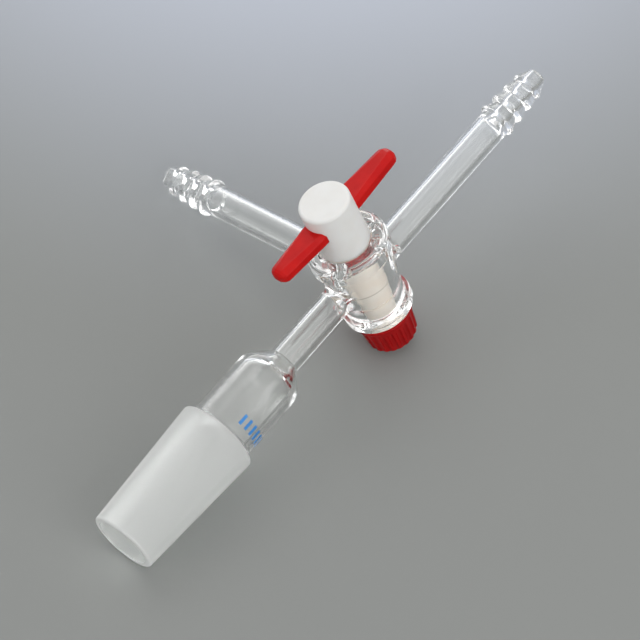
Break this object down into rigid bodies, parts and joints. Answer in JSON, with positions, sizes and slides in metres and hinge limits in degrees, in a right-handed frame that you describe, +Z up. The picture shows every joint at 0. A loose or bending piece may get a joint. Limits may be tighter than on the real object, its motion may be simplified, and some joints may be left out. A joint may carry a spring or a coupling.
{
  "type": "three-way glass stopcock adapter",
  "caption": "Glass stopcock adapter: a tapered barrel with a plastic plug joins a ground cone to two ridged hose arms; a bar handle turns the plug and a nut seats it.",
  "frame": {"origin": "on the bench, under the middle of the box of the stopcock as it lies on its joint rim, its side arm and its nut", "axes": "+X along the level direction of the through axis, from the ground joint to the far hose end; +Z up; +Y towards the side arm"},
  "size_m": [0.183, 0.0922, 0.0612],
  "materials": {
    "clear_glass": "clear and fire-polished, with a frosted ground cone",
    "white_ptfe": "waxy matte",
    "red_plastic": "moulded satin",
    "red_rubber": "matte"
  },
  "bodies": {
    "glass": {"glass_body": "clear_glass"},
    "plug": {"plug": "white_ptfe", "handle_bar": "red_plastic"},
    "seal": {"ptfe_washer": "white_ptfe", "o_ring": "red_rubber"},
    "nut": {"tension_nut": "red_plastic"}
  },
  "joints": [
    {"name": "plug_turn", "type": "hinge", "parent": "glass", "child": "plug", "pos_m": [0.01245, -0.0303, 0.02831], "axis": [-0.1689, 0.3231, 0.9312], "continuous": true},
    {"name": "seal_slide", "type": "slide", "parent": "plug", "child": "seal", "axis": [0.1689, -0.3231, -0.9312], "range_m": [0, 0.0075]},
    {"name": "nut_turn", "type": "hinge", "parent": "seal", "child": "nut", "pos_m": [0.01528, -0.03571, 0.01273], "axis": [0.1689, -0.3231, -0.9312], "range_deg": [0, 1800]}
  ],
  "couplings": [
    {"joint": "seal_slide", "follows": "nut_turn", "m_per_rad": 0.00023873}
  ]
}
